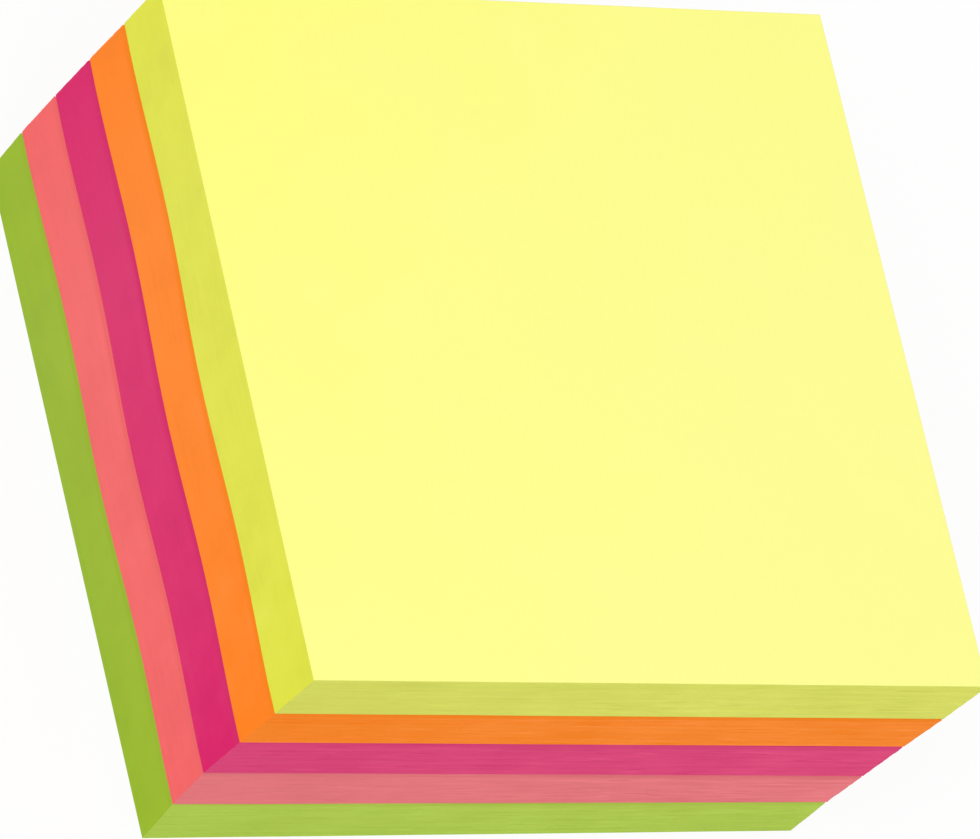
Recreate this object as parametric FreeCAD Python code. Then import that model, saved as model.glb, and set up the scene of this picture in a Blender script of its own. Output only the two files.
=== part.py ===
"""A square pad of sticky notes: five blocks of coloured sheets, laid one on another.

The pad lies flat with +Z up. X runs from the gummed edge, on the left at -X, to the free edge,
and Y runs along the gummed edge, with the front at -Y. The origin is the middle of the pad's
bounding box, on the surface that the pad lies on. Sizes are in millimetres.

The pad was cut in one go with a knife that drifted, so its lower sheets are a little smaller
than its upper ones, and it has since slid a little forward and to the right. The lower a sheet
lies in the two lowest blocks, the further it has turned. The sheets are held along the gummed
edge alone, and on the three free sides small bundles of them creep a little out of line.
"""
import FreeCAD, Part
import math
import os

# Size of the top sheet, and how much smaller the lowest sheet is each way
NOTE_WIDTH = 76.0
NOTE_DEPTH = 76.0
TAPER = 1.35

# Thickness of each block, from the top of the pad down
YELLOW_THICKNESS = 8.3
ORANGE_THICKNESS = 7.45
MAGENTA_THICKNESS = 7.85
SALMON_THICKNESS = 7.35
GREEN_THICKNESS = 7.5

# How far the gummed side and the front lean from the lowest sheet to the top one
LEAN_RIGHT = 0.5
LEAN_FORWARD = 2.0

# How many degrees the lowest sheet has turned, and the height above which no sheet has
TURN = 0.75
TURNED_HEIGHT = GREEN_THICKNESS + SALMON_THICKNESS

# Sheets in a block, and how many of them creep together
SHEETS_PER_BLOCK = 80
SHEETS_PER_BUNDLE = 5

# Most that a bundle creeps along the gummed edge, and most that it falls short of the free edge
CREEP = 0.04
SHORTFALL = 0.06

# How far each bundle moves on through the creep's range, back to its start past the end
CREEP_STRIDE = (math.sqrt(5.0) - 1.0) / 2.0

# The blocks from the table up
BLOCKS = (
    ("green_notes", GREEN_THICKNESS),
    ("salmon_notes", SALMON_THICKNESS),
    ("magenta_notes", MAGENTA_THICKNESS),
    ("orange_notes", ORANGE_THICKNESS),
    ("yellow_notes", YELLOW_THICKNESS),
)

# Height of the whole stack
PAD_HEIGHT = sum(thickness for name, thickness in BLOCKS)

ACROSS = FreeCAD.Vector(1.0, 0.0, 0.0)
UP = FreeCAD.Vector(0.0, 0.0, 1.0)


def sheet_sides(height, along, short):
    """Left, right, front and back of the sheet at a height, for its creep and its shortfall."""
    risen = height / PAD_HEIGHT
    cut_off = TAPER * (1.0 - risen)
    left = LEAN_RIGHT * risen
    front = along - LEAN_FORWARD * risen
    return left, left + NOTE_WIDTH - cut_off - short, front, front + NOTE_DEPTH - cut_off


def bundle(bottom, height, number):
    """One bundle of sheets, leaning with the pad, numbered from the lowest one up."""
    top = bottom + height
    along = CREEP * (2.0 * (number * CREEP_STRIDE % 1.0) - 1.0)
    short = SHORTFALL * ((number * CREEP_STRIDE + 0.5) % 1.0)
    left, right, front, back = sheet_sides(bottom, along, short)
    top_left, top_right, top_front, top_back = sheet_sides(top, along, short)
    # A wedge rises along its own Y, with its front at +Z, and is tipped up to stand on the table
    wedge = Part.makeWedge(
        left, bottom, -back, -top_back, top_left, right, top, -front, -top_front, top_right
    )
    wedge.rotate(FreeCAD.Vector(0.0, 0.0, 0.0), ACROSS, 90.0)
    middle = FreeCAD.Vector((left + right) / 2.0, (front + back) / 2.0, 0.0)
    wedge.rotate(middle, UP, TURN * max(1.0 - (bottom + top) / 2.0 / TURNED_HEIGHT, 0.0))
    return wedge


def block(bottom, thickness, first_bundle):
    """One colour's sheets as a single solid, made of its bundles from the bottom up."""
    bundles = SHEETS_PER_BLOCK // SHEETS_PER_BUNDLE
    height = thickness / bundles
    sheets = [
        bundle(bottom + height * i, height, first_bundle + i)
        for i in range(bundles)
    ]
    return sheets[0].multiFuse(sheets[1:]).removeSplitter()


def pad():
    """All the blocks by name, standing on z = 0 about the middle of their common box."""
    blocks = {}
    bottom = 0.0
    for level, (name, thickness) in enumerate(BLOCKS):
        first_bundle = level * (SHEETS_PER_BLOCK // SHEETS_PER_BUNDLE)
        blocks[name] = block(bottom, thickness, first_bundle)
        bottom += thickness
    box = Part.makeCompound(list(blocks.values())).BoundBox
    to_middle = FreeCAD.Vector(-box.Center.x, -box.Center.y, 0.0)
    for shape in blocks.values():
        shape.translate(to_middle)
    return blocks


os.makedirs("parts", exist_ok=True)
for name, shape in pad().items():
    shape.exportStep("parts/" + name + ".step")
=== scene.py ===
"""A square pad of sticky notes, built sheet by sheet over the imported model.

Each of the five blocks is one closed mesh: a grid for its lowest sheet, an outline drawn up
through every sheet above it, and a grid for its top sheet. The stack leans a little to the
right and forward, its lower sheets are a little smaller, and those of the two lowest blocks
have turned. The sheets are held along the gummed edge, on the left at -X, and creep a little
out of line on the three free sides.
"""
import math

import bmesh
import bpy
from bpy.props import FloatProperty, FloatVectorProperty, IntProperty, PointerProperty
from mathutils import Matrix, Vector, noise


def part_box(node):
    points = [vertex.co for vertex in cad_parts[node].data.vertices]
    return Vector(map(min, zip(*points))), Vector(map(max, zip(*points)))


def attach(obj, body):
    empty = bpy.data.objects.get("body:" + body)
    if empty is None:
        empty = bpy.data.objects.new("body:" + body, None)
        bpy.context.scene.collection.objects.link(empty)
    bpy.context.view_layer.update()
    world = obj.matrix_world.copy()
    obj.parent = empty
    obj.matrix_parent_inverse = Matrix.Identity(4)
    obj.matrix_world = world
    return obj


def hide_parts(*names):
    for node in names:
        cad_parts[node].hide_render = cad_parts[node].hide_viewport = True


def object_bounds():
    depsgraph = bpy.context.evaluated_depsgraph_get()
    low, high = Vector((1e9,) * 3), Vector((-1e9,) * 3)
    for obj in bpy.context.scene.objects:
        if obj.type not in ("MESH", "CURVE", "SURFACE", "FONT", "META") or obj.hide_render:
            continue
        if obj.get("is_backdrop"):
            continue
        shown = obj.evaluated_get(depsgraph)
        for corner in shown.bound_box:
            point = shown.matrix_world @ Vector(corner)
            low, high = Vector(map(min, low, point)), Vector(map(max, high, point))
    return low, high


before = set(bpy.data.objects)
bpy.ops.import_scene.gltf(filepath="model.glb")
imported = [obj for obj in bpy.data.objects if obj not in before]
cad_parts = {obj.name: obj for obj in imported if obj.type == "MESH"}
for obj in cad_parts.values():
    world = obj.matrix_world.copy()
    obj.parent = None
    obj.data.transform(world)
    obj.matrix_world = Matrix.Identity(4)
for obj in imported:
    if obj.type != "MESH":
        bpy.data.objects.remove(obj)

bl_info = {
    "name": "Sticky Note Pad",
    "version": (1, 0, 0),
    "blender": (4, 5, 0),
    "location": "View3D > Sidebar > Note Pad",
    "description": "Builds a pad of five blocks of coloured notes, sheet by sheet",
    "category": "Object",
}

MM = 0.001

# The colours from the table up; with "_notes" added, each is its block's node in the imported model
COLOURS = ("green", "salmon", "magenta", "orange", "yellow")

# Materials of a block, by the side of the sheets that they cover
FACE, CUT_EDGE, GUMMED_EDGE, UNDERSIDE = range(4)

# Outlines in one sheet: its lower edge, its upper edge and the crease above it
RINGS = 3

# Half the width of the unit block, and how close two of its points are when they are one
HALF = 0.5
TOUCHING = 0.0001

# A face belongs to a side when more than this much of its normal points that way
FACING = 0.5

# The bake map: its margin, the height of a side's strip, the step to the next strip, the size of
# a face of the block, and the step from the upper face to the lower one
MAP_MARGIN = 0.01
MAP_STRIP = 0.105
MAP_STRIP_STEP = 0.117
MAP_FACE = 0.485
MAP_FACE_STEP = 0.5

# Where the noise of the slow drift and of each sheet's own stray is read, and its pace by sheet
DRIFT_PLACE, DRIFT_PACE = 0.5, 0.11
STRAY_PLACE, STRAY_PACE = 7.5, 0.83

# Rows of that noise for the creep and for the shortfall
CREEP_ROW = 3.3
SHORTFALL_ROW = 9.7

# Length of one waver along a cut edge, its pace by sheet, and its row of noise on each free side
WAVER_LENGTH = 11.0 * MM
WAVER_PACE = 0.45
WAVER_RIGHT, WAVER_FRONT, WAVER_BACK = 11.0, 23.0, 37.0

# Sheets under a parting that lie back
SETBACK_SHEETS = 3

# Waves by metre and by sheet of the streaks and dashes on a cut edge, and of a gummed edge's lines
COARSE_STREAKS = (42.0, 0.13)
FINE_STREAKS = (120.0, 0.24)
DASHES = (165.0, 0.26)
GUMMED_LINES = (55.0, 0.30)

# Painted shade beside a parting: how strong it is just above one and how many sheets it reaches up,
# and how many sheets under one it starts and is full
SHADE_ABOVE = 0.45
SHADE_REACH = 3.0
SHADE_START = 13.0
SHADE_FULL = 4.0

# How pale the gummed edge is, from its front at 0 to its back at 1
GUMMED_PALENESS = ((0.0, 0.0), (0.25, 0.56), (0.70, 1.0), (1.0, 0.36))

WHITE = (1.0, 1.0, 1.0, 1.0)
FLOOR_WHITE = (0.98, 0.98, 0.98, 1.0)

# Distance between two nodes in the node editor
NODE_STEP = 180.0


def length(name, description, default):
    """A size property, in metres."""
    return FloatProperty(
        name=name,
        description=description,
        default=default,
        min=0.0,
        precision=6,
        subtype="DISTANCE",
        unit="LENGTH",
    )


def lengths(name, description, default):
    """A property of several lengths, in metres, which may be below zero."""
    return FloatVectorProperty(
        name=name,
        description=description,
        default=default,
        size=len(default),
        precision=6,
        subtype="NONE",
        unit="LENGTH",
    )


def angle(name, description, degrees):
    """An angle property, whose default is given in degrees."""
    return FloatProperty(
        name=name,
        description=description,
        default=math.radians(degrees),
        subtype="ANGLE",
        unit="ROTATION",
    )


def share(name, description, default):
    """A property from 0 to 1."""
    return FloatProperty(
        name=name, description=description, default=default, min=0.0, max=1.0, subtype="FACTOR"
    )


def colour(name, description, default):
    """A colour property, in linear light."""
    return FloatVectorProperty(
        name=name,
        description=description,
        default=default,
        min=0.0,
        max=1.0,
        size=3,
        subtype="COLOR",
    )


def point(name, description, default):
    """A property for a place in the room, in metres."""
    return FloatVectorProperty(
        name=name,
        description=description,
        default=default,
        size=3,
        subtype="TRANSLATION",
        unit="LENGTH",
    )


class NoteSheetSettings(bpy.types.PropertyGroup):
    """How the sheets are cut, stacked and held."""

    sheets: IntProperty(
        name="Sheets", description="Sheets in each block", default=80, min=5, max=200
    )
    segments: IntProperty(
        name="Segments",
        description="Pieces that each edge of a sheet is drawn in",
        default=24,
        min=2,
        max=96,
    )
    width: length(
        "Width", "Size of the top sheet from its gummed edge to its free edge", 76.0 * MM
    )
    depth: length("Depth", "Size of the top sheet along its gummed edge", 76.0 * MM)
    taper: length(
        "Taper", "How much smaller each way the lowest sheet is than the top one", 1.35 * MM
    )
    lean_right: length(
        "Lean Right",
        "How far the gummed side leans from the lowest sheet to the top one",
        0.5 * MM,
    )
    lean_forward: length(
        "Lean Forward", "How far the front leans from the lowest sheet to the top one", 2.0 * MM
    )
    slip: lengths(
        "Slip",
        "How far back the sheets have slipped at the table, at each parting and at the top",
        (-0.20 * MM, 0.12 * MM, 0.17 * MM, 0.12 * MM, 0.0, 0.0),
    )
    turn: angle("Turn", "How far the lowest sheet has turned", 0.75)
    turned_blocks: IntProperty(
        name="Turned Blocks",
        description="Blocks, from the table up, whose sheets have turned",
        default=2,
        min=1,
        max=5,
    )
    creep: length("Creep", "Most that a sheet creeps along the gummed edge", 0.035 * MM)
    shortfall: length("Shortfall", "Most that a sheet falls short at the free edge", 0.050 * MM)
    waver: length(
        "Waver", "Most that a sheet's cut edge strays from a straight line", 0.020 * MM
    )
    gap: length("Gap", "Half the open height of the crease between two sheets", 0.014 * MM)
    crease: length(
        "Crease", "Depth of the crease between two sheets on the free sides", 0.022 * MM
    )
    gummed_crease: length(
        "Gummed Crease", "Depth of the crease between two gummed edges", 0.005 * MM
    )
    parting: length(
        "Parting", "Depth of the crease between two blocks on the free sides", 0.350 * MM
    )
    gummed_parting: length(
        "Gummed Parting", "Depth of that crease on the gummed side", 0.160 * MM
    )
    parting_gap: length(
        "Parting Gap", "Half the open height of the crease between two blocks", 0.050 * MM
    )
    setback: length(
        "Setback",
        "How far the sheets just under a parting lie back on the free sides",
        0.140 * MM,
    )
    gummed_setback: length(
        "Gummed Setback", "How far they lie back on the gummed side", 0.070 * MM
    )
    wave: length(
        "Wave", "Height of the slow wave in the sheets along the gummed edge", 0.40 * MM
    )
    wave_length: length("Wave Length", "Length of that wave along the gummed edge", 39.5 * MM)
    wave_crest: length(
        "Wave Crest", "Distance from the back to the wave's first crest", 20.5 * MM
    )
    wave_ease: length(
        "Wave Ease", "Height over which the wave dies away at the top and bottom", 6.5 * MM
    )
    wave_far: share("Wave Far", "How much of the wave is left at the free edge", 0.25)
    rise: lengths(
        "Rise",
        "How far each parting rises from front to back of the gummed edge, from the table up",
        (-0.25 * MM, -0.10 * MM, -0.05 * MM, 0.40 * MM),
    )


class NoteColourSettings(bpy.types.PropertyGroup):
    """Colours of the notes: the sheets, the cut edges and the gummed edges."""

    yellow_face: colour("Yellow Sheet", "Face of a yellow sheet", (0.985, 0.975, 0.288))
    yellow_cut: colour(
        "Yellow Cut Edge", "Cut edges of the yellow block", (0.690, 0.730, 0.115)
    )
    yellow_gummed: colour(
        "Yellow Gummed Edge", "Gummed edge of the yellow block", (0.720, 0.747, 0.060)
    )
    orange_face: colour("Orange Sheet", "Face of an orange sheet", (0.960, 0.330, 0.050))
    orange_cut: colour(
        "Orange Cut Edge", "Cut edges of the orange block", (0.995, 0.250, 0.003)
    )
    orange_gummed: colour(
        "Orange Gummed Edge", "Gummed edge of the orange block", (0.975, 0.226, 0.000)
    )
    magenta_face: colour("Magenta Sheet", "Face of a magenta sheet", (0.860, 0.080, 0.240))
    magenta_cut: colour(
        "Magenta Cut Edge", "Cut edges of the magenta block", (0.730, 0.051, 0.200)
    )
    magenta_gummed: colour(
        "Magenta Gummed Edge", "Gummed edge of the magenta block", (0.678, 0.016, 0.142)
    )
    salmon_face: colour("Salmon Sheet", "Face of a salmon sheet", (0.940, 0.250, 0.230))
    salmon_cut: colour(
        "Salmon Cut Edge", "Cut edges of the salmon block", (0.806, 0.196, 0.222)
    )
    salmon_gummed: colour(
        "Salmon Gummed Edge", "Gummed edge of the salmon block", (0.880, 0.134, 0.138)
    )
    green_face: colour("Green Sheet", "Face of a green sheet", (0.480, 0.700, 0.110))
    green_cut: colour("Green Cut Edge", "Cut edges of the green block", (0.459, 0.642, 0.078))
    green_gummed: colour(
        "Green Gummed Edge", "Gummed edge of the green block", (0.323, 0.495, 0.025)
    )
    mottle: share("Mottle", "Strength of the faint clouding in the paper", 0.5)
    streaks: share("Streaks", "Strength of the streaks along the cut edges", 0.9)
    gum_width: length("Gum Width", "Width of the strip of gum under a sheet", 13.0 * MM)


class NoteStageSettings(bpy.types.PropertyGroup):
    """Camera, lamp and floor."""

    camera_place: point(
        "Camera Place", "Where the camera stands", (-0.55762, -0.46010, 0.90029)
    )
    camera_aim: point(
        "Camera Aim", "Point in the middle of the picture", (0.00076, 0.00009, 0.01935)
    )
    camera_roll: angle("Camera Roll", "Turn of the camera about its line of sight", 44.445)
    lens: FloatProperty(
        name="Lens",
        description="Focal length",
        default=418.06,
        min=1.0,
        subtype="DISTANCE_CAMERA",
        unit="CAMERA",
    )
    sky: FloatProperty(
        name="Sky", description="Even light from all round", default=0.75, min=0.0
    )
    key: FloatProperty(
        name="Key Lamp",
        description="Power of the large soft lamp",
        default=6.0,
        min=0.0,
        subtype="POWER",
        unit="POWER",
    )
    key_size: length("Key Lamp Size", "Width of the large soft lamp", 0.9)
    key_place: point("Key Lamp Place", "Where the large soft lamp hangs", (-0.60, -0.50, 1.00))
    floor_reach: length("Floor Reach", "How far the floor reaches each way", 6.0)
    shadow: share("Shadow", "How much of the pad's shadow shows on the floor", 0.10)


def clamped(value):
    """A value kept between 0 and 1."""
    return min(max(value, 0.0), 1.0)


def settle_order(bm):
    """Puts the faces in the order of their points, because spin leaves it to chance."""
    bm.verts.index_update()
    ordered = sorted(bm.faces, key=lambda face: sorted(vert.index for vert in face.verts))
    for place, face in enumerate(ordered):
        face.index = place
    bm.faces.sort()


def unit_block(sizes):
    """Makes a block one unit wide, deep and high, with its outlines evenly spaced."""
    rings = RINGS * sizes.sheets
    bm = bmesh.new()
    bmesh.ops.create_grid(bm, x_segments=sizes.segments, y_segments=sizes.segments, size=HALF)
    lowest_sheet = bm.faces[:]
    outline = [edge for edge in bm.edges if edge.is_boundary]
    bmesh.ops.spin(
        bm,
        geom=outline,
        cent=(0.0, 0.0, 0.0),
        axis=(0.0, 0.0, 1.0),
        dvec=(0.0, 0.0, 1.0 / rings),
        angle=0.0,
        steps=rings,
        use_merge=False,
        use_duplicate=False,
    )
    copied = bmesh.ops.duplicate(bm, geom=lowest_sheet)["geom"]
    top_sheet = [item for item in copied if isinstance(item, bmesh.types.BMVert)]
    bmesh.ops.translate(bm, vec=(0.0, 0.0, 1.0), verts=top_sheet)
    bmesh.ops.remove_doubles(bm, verts=bm.verts[:], dist=TOUCHING)
    bmesh.ops.recalc_face_normals(bm, faces=bm.faces[:])
    settle_order(bm)
    return bm


def lay_out_map(bm):
    """Lays the four sides out as strips and the two faces beside each other above them."""
    layer = bm.loops.layers.uv.new("OFBake")
    for face in bm.faces:
        normal = face.normal
        for loop in face.loops:
            x, y, z = loop.vert.co
            if abs(normal.z) > FACING:
                column = 0 if normal.z > 0.0 else 1
                across = MAP_MARGIN + column * MAP_FACE_STEP + (x + HALF) * MAP_FACE
                up = MAP_FACE + (y + HALF) * MAP_FACE
            else:
                if abs(normal.x) > FACING:
                    row = 0 if normal.x < 0.0 else 1
                    along = HALF - y
                else:
                    row = 2 if normal.y < 0.0 else 3
                    along = HALF + x
                across = MAP_MARGIN + along * (1.0 - 2.0 * MAP_MARGIN)
                up = MAP_MARGIN + row * MAP_STRIP_STEP + z * MAP_STRIP
            loop[layer].uv = (across, up)


def share_out_materials(bm):
    """Gives each face of the block the material of its side."""
    for face in bm.faces:
        if face.normal.z > FACING:
            face.material_index = FACE
        elif face.normal.z < -FACING:
            face.material_index = UNDERSIDE
        elif face.normal.x < -FACING:
            face.material_index = GUMMED_EDGE
        else:
            face.material_index = CUT_EDGE


def number_sheets(bm, sizes, first_sheet):
    """Writes on each point which sheet it belongs to, with the creases half way between two."""
    layer = bm.verts.layers.float.new("sheet")
    for vert in bm.verts:
        ring = round(vert.co.z * RINGS * sizes.sheets)
        sheet, part = divmod(ring, RINGS)
        vert[layer] = first_sheet + sheet + (0.0 if part else -0.5)


class Stack:
    """The leaning stack of sheets, as it is before they creep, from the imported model's boxes.

    Its partings are the heights where one block meets the next, from the table to the top.
    """

    def __init__(self, sizes):
        self.sizes = sizes
        self.low, self.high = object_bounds()
        self.partings = [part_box(name + "_notes")[0].z for name in COLOURS] + [self.high.z]

    def between_partings(self, values, height):
        """A value at a height, from those at the table, at each parting and at the top."""
        steps = zip(self.partings, self.partings[1:], values, values[1:])
        for below, above, value_below, value_above in steps:
            if height <= above:
                part = (height - below) / (above - below)
                return value_below + (value_above - value_below) * part
        return values[-1]

    def sides(self, height):
        """Left, right, front and back of the stack at a height."""
        sizes = self.sizes
        sunk = (self.high.z - height) / (self.high.z - self.low.z)
        cut_off = sizes.taper * sunk
        left = self.high.x - sizes.width - sizes.lean_right * sunk
        front = self.low.y + sizes.creep + sizes.lean_forward * sunk
        front += self.between_partings(sizes.slip, height)
        return left, left + sizes.width - cut_off, front, front + sizes.depth - cut_off

    def turned(self, height):
        """Cosine and sine of the angle that the sheet at a height has turned through."""
        turned_height = self.partings[self.sizes.turned_blocks] - self.low.z
        turn = self.sizes.turn * max(1.0 - (height - self.low.z) / turned_height, 0.0)
        return math.cos(turn), math.sin(turn)

    def lift(self, x, y, height):
        """How far a point is lifted by the slow wave and by the rise of the partings."""
        sizes = self.sizes
        behind = sizes.depth / 2.0 - y
        from_back = clamped(behind / sizes.depth)
        crest = math.cos(2.0 * math.pi * (behind - sizes.wave_crest) / sizes.wave_length)
        wave = sizes.wave * crest * math.sqrt(math.sin(math.pi * from_back))
        skin = min(height - self.partings[0], self.partings[-1] - height)
        ease = clamped(skin / sizes.wave_ease)
        lift = wave * ease * ease * (3.0 - 2.0 * ease)
        lift += self.between_partings((0.0, *sizes.rise, 0.0), height) * (1.0 - from_back)
        across = clamped(x / sizes.width + 0.5)
        return lift * (1.0 - (1.0 - sizes.wave_far) * across)


def strays(number, row):
    """A slow drift from sheet to sheet, and a stray of the numbered sheet's own."""
    drift = noise.noise(Vector((DRIFT_PLACE, DRIFT_PACE * number, row)))
    stray = noise.noise(Vector((STRAY_PLACE, STRAY_PACE * number, row)))
    return drift, stray


def sheet_reach(sizes, number):
    """How far a sheet has crept along the gummed edge, and how far short of the free edge it is."""
    drift, stray = strays(number, CREEP_ROW)
    along = sizes.creep * (0.9 * drift + 0.5 * stray)
    drift, stray = strays(number, SHORTFALL_ROW)
    short = sizes.shortfall * (0.5 + 0.6 * drift + 0.35 * stray)
    return along, max(short, 0.0)


def edge_waver(sizes, along, sheet, row):
    """How far a cut edge strays from a straight line, at a place along a sheet."""
    return sizes.waver * noise.noise(Vector((along / WAVER_LENGTH, WAVER_PACE * sheet, row)))


def outlines(stack, low, high, first_sheet):
    """Left, right, front, back and height of each outline of a block, from the bottom up."""
    sizes = stack.sizes
    thickness = (high.z - low.z) / sizes.sheets
    last = RINGS * sizes.sheets
    lifted = low.z > stack.low.z
    covered = high.z < stack.high.z
    places = []
    for ring in range(last + 1):
        sheet, part = divmod(ring, RINGS)
        height = low.z + thickness * sheet
        if part == 1:
            at_parting = lifted and sheet == 0
            height += sizes.parting_gap if at_parting else sizes.gap
        elif part == 2:
            at_parting = covered and sheet == sizes.sheets - 1
            height += thickness - (sizes.parting_gap if at_parting else sizes.gap)
        left, right, front, back = stack.sides(height)
        if covered:
            under = max(1.0 - (last - ring) / (SETBACK_SHEETS * RINGS), 0.0)
            left += sizes.gummed_setback * under
            right -= sizes.setback * under
            front += sizes.setback * under
            back -= sizes.setback * under
        along, short = sheet_reach(sizes, first_sheet + sheet)
        if part:
            places.append((left, right - short, front + along, back + along, height))
            continue
        along_below, short_below = sheet_reach(sizes, first_sheet + sheet - 1)
        at_parting = (lifted and ring == 0) or (covered and ring == last)
        deep = sizes.parting if at_parting else sizes.crease
        left += sizes.gummed_parting if at_parting else sizes.gummed_crease
        right -= max(short_below, short) + deep
        front += max(along_below, along) + deep
        back += min(along_below, along) - deep
        places.append((left, right, front, back, height))
    return places


def place_sheets(bm, stack, low, high, first_sheet):
    """Puts every outline of the unit block in its place, with its stray, its turn and its lift."""
    sizes = stack.sizes
    rings = RINGS * sizes.sheets
    places = outlines(stack, low, high, first_sheet)
    turns = [stack.turned(place[-1]) for place in places]
    for vert in bm.verts:
        a, b, c = vert.co
        ring = round(c * rings)
        left, right, front, back, height = places[ring]
        cosine, sine = turns[ring]
        across = a * (right - left)
        along = b * (back - front)
        x = (left + right) / 2.0 + across * cosine - along * sine
        y = (front + back) / 2.0 + across * sine + along * cosine
        sheet = first_sheet + ring / RINGS
        if a > HALF - TOUCHING:
            x += edge_waver(sizes, y, sheet, WAVER_RIGHT)
        if b < TOUCHING - HALF:
            y += edge_waver(sizes, x, sheet, WAVER_FRONT)
        if b > HALF - TOUCHING:
            y += edge_waver(sizes, x, sheet, WAVER_BACK)
        vert.co = (x, y, height + stack.lift(x, y, height))


class Nodes:
    """Adds nodes to a material or a world, from left to right."""

    def __init__(self, tree):
        self.tree = tree
        self.tree.nodes.clear()
        self.count = 0

    def add(self, kind, inputs=None, **settings):
        """Adds a node, sets its properties, and sets or links its inputs by name or number."""
        node = self.tree.nodes.new(kind)
        node.location = (self.count * NODE_STEP, 0.0)
        self.count += 1
        for key, value in settings.items():
            setattr(node, key, value)
        for key, value in (inputs or {}).items():
            if isinstance(value, bpy.types.NodeSocket):
                self.tree.links.new(value, node.inputs[key])
            else:
                node.inputs[key].default_value = value
        return node

    def math(self, operation, *values, clamp=False):
        """Adds a Math node and gives its output."""
        inputs = dict(enumerate(values))
        node = self.add("ShaderNodeMath", inputs, operation=operation, use_clamp=clamp)
        return node.outputs[0]

    def scaled(self, value, factor, offset=0.0, clamp=False):
        """A value times a factor, with an offset added."""
        return self.math("MULTIPLY_ADD", value, factor, offset, clamp=clamp)

    def spread(self, value, low, high, at_low, at_high, smooth=False):
        """A value that goes from at_low to at_high as another goes from low to high."""
        inputs = {
            "Value": value,
            "From Min": low,
            "From Max": high,
            "To Min": at_low,
            "To Max": at_high,
        }
        way = "SMOOTHSTEP" if smooth else "LINEAR"
        return self.add("ShaderNodeMapRange", inputs, interpolation_type=way).outputs["Result"]

    def mix(self, factor, first, second):
        """Adds a Mix node for two colours and gives its output."""
        inputs = {0: factor, 6: first, 7: second}
        return self.add("ShaderNodeMix", inputs, data_type="RGBA").outputs[2]

    def noise(self, vector, scale, detail=3.0, roughness=0.5):
        """Adds a Noise Texture and gives its value."""
        inputs = {"Vector": vector, "Scale": scale, "Detail": detail, "Roughness": roughness}
        return self.add("ShaderNodeTexNoise", inputs).outputs["Fac"]

    def streaks(self, along, sheet, waves, shift=0.0, **finish):
        """Adds noise drawn out along the sheets, with its waves by metre and by sheet."""
        by_metre, by_sheet = waves
        inputs = {"X": self.scaled(along, by_metre), "Y": self.scaled(sheet, by_sheet, shift)}
        place = self.add("ShaderNodeCombineXYZ", inputs).outputs["Vector"]
        return self.noise(place, scale=1.0, **finish)


def shade(base, factor, blend=0.0):
    """A colour made lighter or darker, and moved towards its own brightest channel by blend."""
    top = max(base)
    return (*(clamped((value + (top - value) * blend) * factor) for value in base), 1.0)


def start_material(name):
    """A new material with its nodes cleared, the point that is shaded, and its X, Y and Z."""
    material = bpy.data.materials.new(name)
    material.use_nodes = True
    nodes = Nodes(material.node_tree)
    here = nodes.add("ShaderNodeTexCoord").outputs["Object"]
    parts = nodes.add("ShaderNodeSeparateXYZ", {"Vector": here}).outputs
    return material, nodes, here, parts


def finish_material(material, nodes, base, roughness, height, depth, specular):
    """Ends a material in a paper shader with a fine bump of the given depth."""
    bump = nodes.add("ShaderNodeBump", {"Strength": 0.6, "Distance": depth, "Height": height})
    inputs = {
        "Base Color": base,
        "Roughness": roughness,
        "Normal": bump.outputs["Normal"],
        "Specular IOR Level": specular,
    }
    shader = nodes.add("ShaderNodeBsdfPrincipled", inputs)
    nodes.add("ShaderNodeOutputMaterial", {"Surface": shader.outputs["BSDF"]})
    return material


def sheet_face(name, base, mottle, left, back, gum_width=0.0):
    """Face of a sheet: matt paper with fine fibre and faint clouding, and gum along one edge.

    The paper is painted a little deeper towards the corner where the gummed edge meets the back,
    and paler towards the front: a painted gradient of light.
    """
    material, nodes, here, parts = start_material(name)
    drawn_out = nodes.add("ShaderNodeMapping", {"Vector": here, "Scale": (1.0, 0.35, 1.0)})
    fibre = nodes.noise(drawn_out.outputs["Vector"], scale=2600.0, detail=4.0, roughness=0.6)
    cloud = nodes.noise(here, scale=95.0, detail=4.0, roughness=0.55)
    broad = nodes.noise(here, scale=24.0, detail=2.0)

    # Painted light: deeper towards the gummed back corner, paler towards the front
    from_corner = nodes.math("SUBTRACT", parts["X"], parts["Y"])
    from_corner = nodes.scaled(broad, 20.0 * MM, from_corner)
    corner = left - back
    deep = nodes.spread(from_corner, corner + 10.0 * MM, corner + 115.0 * MM, 1.0, 0.0)
    paint = nodes.mix(deep, shade(base, 1.0), shade(base, 1.0, blend=-0.11))

    cloudy = nodes.math("ADD", cloud, nodes.math("ADD", broad, -0.8), clamp=True)
    cloudy = nodes.math("MULTIPLY", cloudy, mottle)
    paint = nodes.mix(cloudy, paint, shade(base, 0.975, blend=0.05))
    grain = nodes.scaled(fibre, 0.30, -0.15, clamp=True)
    paint = nodes.mix(grain, paint, shade(base, 0.88))
    roughness = nodes.scaled(fibre, 0.12, 0.78)
    height = nodes.scaled(cloud, 0.35, fibre)

    if gum_width:
        ragged = nodes.scaled(nodes.noise(here, scale=420.0), 1.2 * MM, parts["X"])
        gum_end = left + gum_width
        gum = nodes.spread(ragged, gum_end, gum_end + 0.6 * MM, 1.0, 0.0)
        paint = nodes.mix(nodes.math("MULTIPLY", gum, 0.5), paint, shade(base, 0.80))
        roughness = nodes.scaled(gum, -0.42, roughness)
    return finish_material(
        material, nodes, paint, roughness, height, depth=0.03 * MM, specular=0.25
    )


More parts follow.
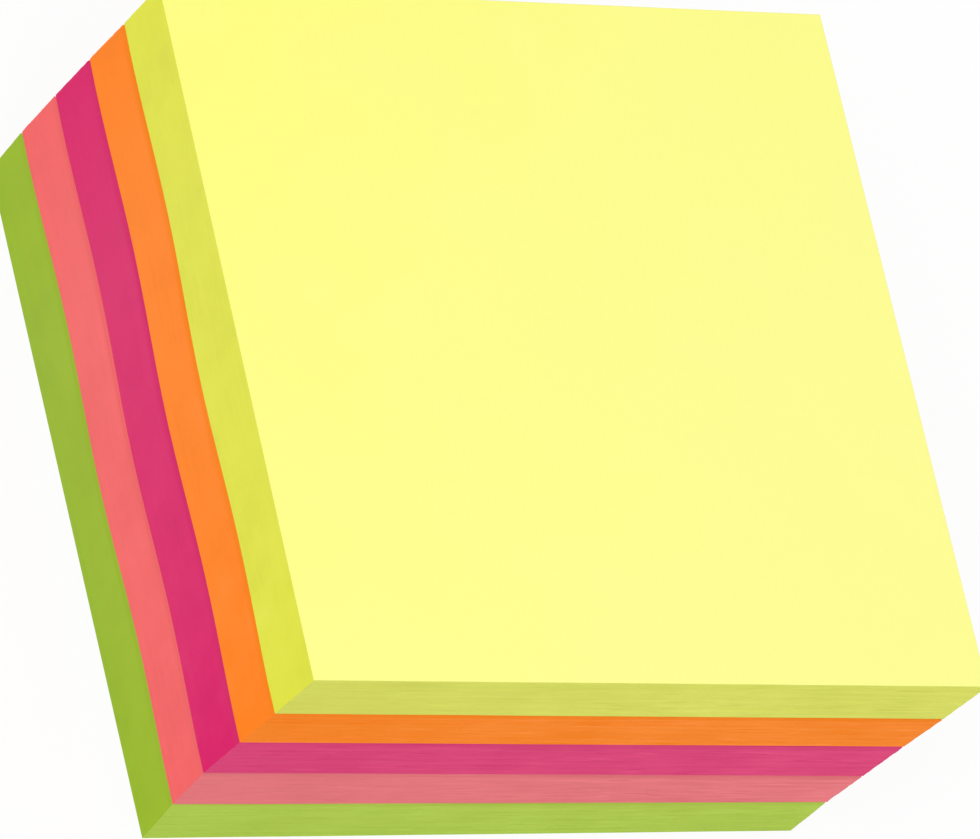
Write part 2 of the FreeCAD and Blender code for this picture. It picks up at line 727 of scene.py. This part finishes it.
def painted_parting_shade(nodes, sheet, sheets, covered, uneven):
    """Painted shade near the block's ends: 1 just under a parting and 0 some sheets away.

    It stands in for the shade at the partings and at the table. It is fainter above a parting than
    under one, and rises and falls along them with uneven.
    """
    counted = nodes.math("FRACT", nodes.scaled(sheet, 1.0 / sheets, 0.5 / sheets))
    counted = nodes.math("MULTIPLY", counted, float(sheets))
    close = nodes.spread(counted, 0.0, SHADE_REACH, SHADE_ABOVE, 0.0)
    if covered:
        start, full = sheets - SHADE_START, sheets - SHADE_FULL
        under = nodes.spread(counted, start, full, 0.0, 1.0, smooth=True)
        close = nodes.math("MAXIMUM", close, under)
    return nodes.math("MULTIPLY", close, nodes.spread(uneven, 0.36, 0.62, 0.4, 1.0))


def cut_edge(name, base, streaks, left, sheets, covered):
    """Cut edges of a block: streaks that run along the sheets, each a little lighter or darker.

    Here and there a sheet or two stand out in a short dash, and the edge is a little duller towards
    the gummed edge. Beside the partings it carries painted shade.
    """
    material, nodes, here, parts = start_material(name)
    sheet = nodes.add("ShaderNodeAttribute", attribute_name="sheet").outputs["Fac"]
    along = nodes.math("ADD", parts["X"], parts["Y"])
    coarse = nodes.streaks(along, sheet, COARSE_STREAKS, detail=3.0, roughness=0.6)
    fine = nodes.streaks(along, sheet, FINE_STREAKS, detail=2.0)
    dash = nodes.streaks(along, sheet, DASHES, shift=40.0, detail=1.0, roughness=0.4)
    fibre = nodes.noise(here, scale=5200.0, roughness=0.6)
    blotch = nodes.noise(here, scale=120.0, detail=2.0)

    streak = nodes.scaled(fine, 0.5, nodes.math("ADD", blotch, -1.25))
    streak = nodes.math("ADD", streak, coarse)
    streak = nodes.scaled(streak, streaks, 0.5, clamp=True)
    paint = nodes.mix(streak, shade(base, 0.88), shade(base, 1.11, blend=0.04))
    dark_dash = nodes.spread(dash, 0.62, 0.72, 0.0, streaks, smooth=True)
    paint = nodes.mix(dark_dash, paint, shade(base, 0.89))
    pale_dash = nodes.spread(dash, 0.28, 0.38, streaks, 0.0, smooth=True)
    paint = nodes.mix(pale_dash, paint, shade(base, 1.08, blend=0.05))

    # Darker towards the gummed edge, and painted shade beside the partings
    dull = nodes.spread(parts["X"], left, left + 45.0 * MM, 0.5, 0.0)
    painted_shade = painted_parting_shade(nodes, sheet, sheets, covered, coarse)
    paint = nodes.mix(nodes.math("MAXIMUM", dull, painted_shade), paint, shade(base, 0.88))
    grain = nodes.scaled(fibre, 0.5, -0.2, clamp=True)
    paint = nodes.mix(grain, paint, shade(base, 0.84))
    roughness = nodes.scaled(fine, 0.12, 0.80)
    height = nodes.scaled(fine, 0.5, fibre)
    return finish_material(
        material, nodes, paint, roughness, height, depth=0.03 * MM, specular=0.15
    )


def gummed_edge(name, base, streaks, front, back, sheets, covered):
    """Gummed edge of a block: the sheets drawn tight together, smoother, with soft blotches.

    It is palest behind its middle and deepest at the front.
    """
    material, nodes, here, parts = start_material(name)
    sheet = nodes.add("ShaderNodeAttribute", attribute_name="sheet").outputs["Fac"]
    line = nodes.streaks(parts["Y"], sheet, GUMMED_LINES, detail=3.0, roughness=0.6)
    blotch = nodes.noise(here, scale=170.0, roughness=0.6)
    fibre = nodes.noise(here, scale=3600.0, roughness=0.6)

    from_front = nodes.spread(parts["Y"], front, back, 0.0, 1.0)
    from_front = nodes.scaled(nodes.math("ADD", blotch, -0.5), 0.25, from_front)
    ramp = nodes.add("ShaderNodeValToRGB", {"Fac": from_front})
    stops = ramp.color_ramp.elements
    for place, paleness in GUMMED_PALENESS[1:-1]:
        stops.new(place)
    for stop, (place, paleness) in zip(stops, GUMMED_PALENESS):
        stop.color = (paleness, paleness, paleness, 1.0)
    deepest = shade(base, 1.0, blend=-0.020)
    palest = shade(base, 1.0, blend=0.028)
    paint = nodes.mix(ramp.outputs["Color"], deepest, palest)

    tone = nodes.scaled(line, 0.45, nodes.scaled(blotch, 0.9, -0.675))
    lighter = nodes.math("MULTIPLY", tone, streaks)
    darker = nodes.math("MULTIPLY", lighter, -1.0)
    paint = nodes.mix(darker, paint, shade(base, 0.70))
    paint = nodes.mix(lighter, paint, shade(base, 1.15, blend=0.05))
    # Painted shade beside the partings
    painted_shade = painted_parting_shade(nodes, sheet, sheets, covered, line)
    paint = nodes.mix(painted_shade, paint, shade(base, 0.92))
    grain = nodes.scaled(fibre, 0.3, -0.12, clamp=True)
    paint = nodes.mix(grain, paint, shade(base, 0.86))
    roughness = nodes.scaled(blotch, 0.16, 0.60)
    height = nodes.scaled(line, 0.5, fibre)
    return finish_material(
        material, nodes, paint, roughness, height, depth=0.02 * MM, specular=0.15
    )


def block_finishes(name, colours, stack, low, high):
    """The materials of a block, in the order of their numbers on its faces."""
    face = getattr(colours, name + "_face")
    cut = getattr(colours, name + "_cut")
    gummed = getattr(colours, name + "_gummed")
    mottle, streaks = colours.mottle, colours.streaks
    ends = (stack.sizes.sheets, high.z < stack.high.z)
    return (
        sheet_face(name + "_sheet_face", face, mottle, low.x, high.y),
        cut_edge(name + "_cut_edge", cut, streaks, low.x, *ends),
        gummed_edge(name + "_gummed_edge", gummed, streaks, stack.low.y, stack.high.y, *ends),
        sheet_face(
            name + "_gummed_underside", face, mottle, low.x, high.y, colours.gum_width
        ),
    )


def add_to_scene(scene, name, data):
    """A new object in the scene, at the origin and unturned."""
    item = bpy.data.objects.new(name, data)
    scene.collection.objects.link(item)
    return item


class NOTEPAD_OT_blocks(bpy.types.Operator):
    """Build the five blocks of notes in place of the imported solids"""

    bl_idname = "notepad.blocks"
    bl_label = "Blocks of Notes"
    bl_options = {"REGISTER", "UNDO"}

    def execute(self, context):
        scene = context.scene
        sizes = scene.note_sheets
        stack = Stack(sizes)
        unit = unit_block(sizes)
        lay_out_map(unit)
        share_out_materials(unit)
        for level, name in enumerate(COLOURS):
            node = name + "_notes"
            low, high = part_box(node)
            first_sheet = level * sizes.sheets
            bm = unit.copy()
            number_sheets(bm, sizes, first_sheet)
            place_sheets(bm, stack, low, high, first_sheet)
            mesh = bpy.data.meshes.new(name + "_sheets")
            bm.to_mesh(mesh)
            bm.free()
            for finish in block_finishes(name, scene.note_colours, stack, low, high):
                mesh.materials.append(finish)
            piece = add_to_scene(scene, name + "_sheets", mesh)
            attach(piece, "root")
            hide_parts(node)
        unit.free()
        return {"FINISHED"}


def facing(place, aim):
    """The matrix of a camera or a lamp that stands at one point and faces another."""
    turn = (aim - place).to_track_quat("-Z", "Y").to_matrix().to_4x4()
    return Matrix.Translation(place) @ turn


def white_background(nodes, amount):
    """Share of a ray that sees plain white: the camera's own, and mirrored or see-through ones."""
    path = nodes.add("ShaderNodeLightPath")
    seen = nodes.math("MAXIMUM", path.outputs["Is Camera Ray"], path.outputs["Is Glossy Ray"])
    seen = nodes.math("MAXIMUM", seen, path.outputs["Is Transmission Ray"])
    return nodes.math("MULTIPLY", seen, amount)


def add_camera(scene, settings):
    """Stands the camera where the photograph was taken from."""
    data = bpy.data.cameras.new("camera")
    data.lens = settings.lens
    data.clip_start = 0.01
    data.clip_end = 100.0
    camera = add_to_scene(scene, "camera", data)
    roll = Matrix.Rotation(settings.camera_roll, 4, "Z")
    camera.matrix_world = facing(Vector(settings.camera_place), Vector(settings.camera_aim)) @ roll
    scene.camera = camera


def add_floor(scene, settings):
    """Lays a white floor that keeps a little of the pad's shadow."""
    bm = bmesh.new()
    bmesh.ops.create_grid(bm, x_segments=8, y_segments=8, size=settings.floor_reach)
    mesh = bpy.data.meshes.new("floor")
    bm.to_mesh(mesh)
    bm.free()
    floor = add_to_scene(scene, "floor", mesh)
    paint = bpy.data.materials.new("white_floor")
    paint.use_nodes = True
    nodes = Nodes(paint.node_tree)
    seen = white_background(nodes, 1.0 - settings.shadow)
    board = nodes.add("ShaderNodeBsdfDiffuse", {"Color": FLOOR_WHITE})
    glow = nodes.add("ShaderNodeEmission", {"Color": WHITE, "Strength": 1.0})
    inputs = {0: seen, 1: board.outputs[0], 2: glow.outputs[0]}
    mixed = nodes.add("ShaderNodeMixShader", inputs)
    nodes.add("ShaderNodeOutputMaterial", {"Surface": mixed.outputs[0]})
    mesh.materials.append(paint)
    floor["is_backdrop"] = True


def add_light(scene, settings):
    """Fills the room with even light, white to the eye, and hangs one large soft lamp in it."""
    world = bpy.data.worlds.new("white_room")
    world.use_nodes = True
    nodes = Nodes(world.node_tree)
    seen = white_background(nodes, 1.0)
    sky = nodes.add("ShaderNodeBackground", {"Color": WHITE, "Strength": settings.sky})
    white = nodes.add("ShaderNodeBackground", {"Color": WHITE, "Strength": 1.0})
    inputs = {0: seen, 1: sky.outputs[0], 2: white.outputs[0]}
    mixed = nodes.add("ShaderNodeMixShader", inputs)
    nodes.add("ShaderNodeOutputWorld", {"Surface": mixed.outputs[0]})
    scene.world = world

    lamp = bpy.data.lights.new("key_lamp", "AREA")
    lamp.shape = "SQUARE"
    lamp.size = settings.key_size
    lamp.energy = settings.key
    key = add_to_scene(scene, "key_lamp", lamp)
    key.matrix_world = facing(Vector(settings.key_place), Vector())


class NOTEPAD_OT_stage(bpy.types.Operator):
    """Set up the camera, the white floor, the even light and the soft lamp"""

    bl_idname = "notepad.stage"
    bl_label = "Camera, Floor and Light"
    bl_options = {"REGISTER", "UNDO"}

    def execute(self, context):
        scene = context.scene
        add_camera(scene, scene.note_stage)
        add_floor(scene, scene.note_stage)
        add_light(scene, scene.note_stage)
        scene.view_settings.view_transform = "Standard"
        return {"FINISHED"}


class NOTEPAD_PT_panel(bpy.types.Panel):
    """Lists the steps that build the pad, with their sizes and colours"""

    bl_label = "Note Pad"
    bl_space_type = "VIEW_3D"
    bl_region_type = "UI"
    bl_category = "Note Pad"

    def draw(self, context):
        groups = (
            ("note_sheets", "notepad.blocks"),
            ("note_colours", None),
            ("note_stage", "notepad.stage"),
        )
        for name, operator in groups:
            box = self.layout.box()
            settings = getattr(context.scene, name)
            for key in settings.bl_rna.properties.keys():
                if key not in ("rna_type", "name"):
                    box.prop(settings, key)
            if operator:
                box.operator(operator)


CLASSES = (
    NoteSheetSettings,
    NoteColourSettings,
    NoteStageSettings,
    NOTEPAD_OT_blocks,
    NOTEPAD_OT_stage,
    NOTEPAD_PT_panel,
)


def register():
    """Registers the classes and gives the scene its settings."""
    for item in CLASSES:
        bpy.utils.register_class(item)
    bpy.types.Scene.note_sheets = PointerProperty(type=NoteSheetSettings)
    bpy.types.Scene.note_colours = PointerProperty(type=NoteColourSettings)
    bpy.types.Scene.note_stage = PointerProperty(type=NoteStageSettings)


def unregister():
    """Takes the settings away again and unregisters the classes."""
    del bpy.types.Scene.note_stage
    del bpy.types.Scene.note_colours
    del bpy.types.Scene.note_sheets
    for item in reversed(CLASSES):
        bpy.utils.unregister_class(item)


def main():
    """Builds the pad and its stage."""
    register()
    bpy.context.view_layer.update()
    bpy.ops.notepad.blocks()
    bpy.ops.notepad.stage()


if __name__ == "__main__":
    main()
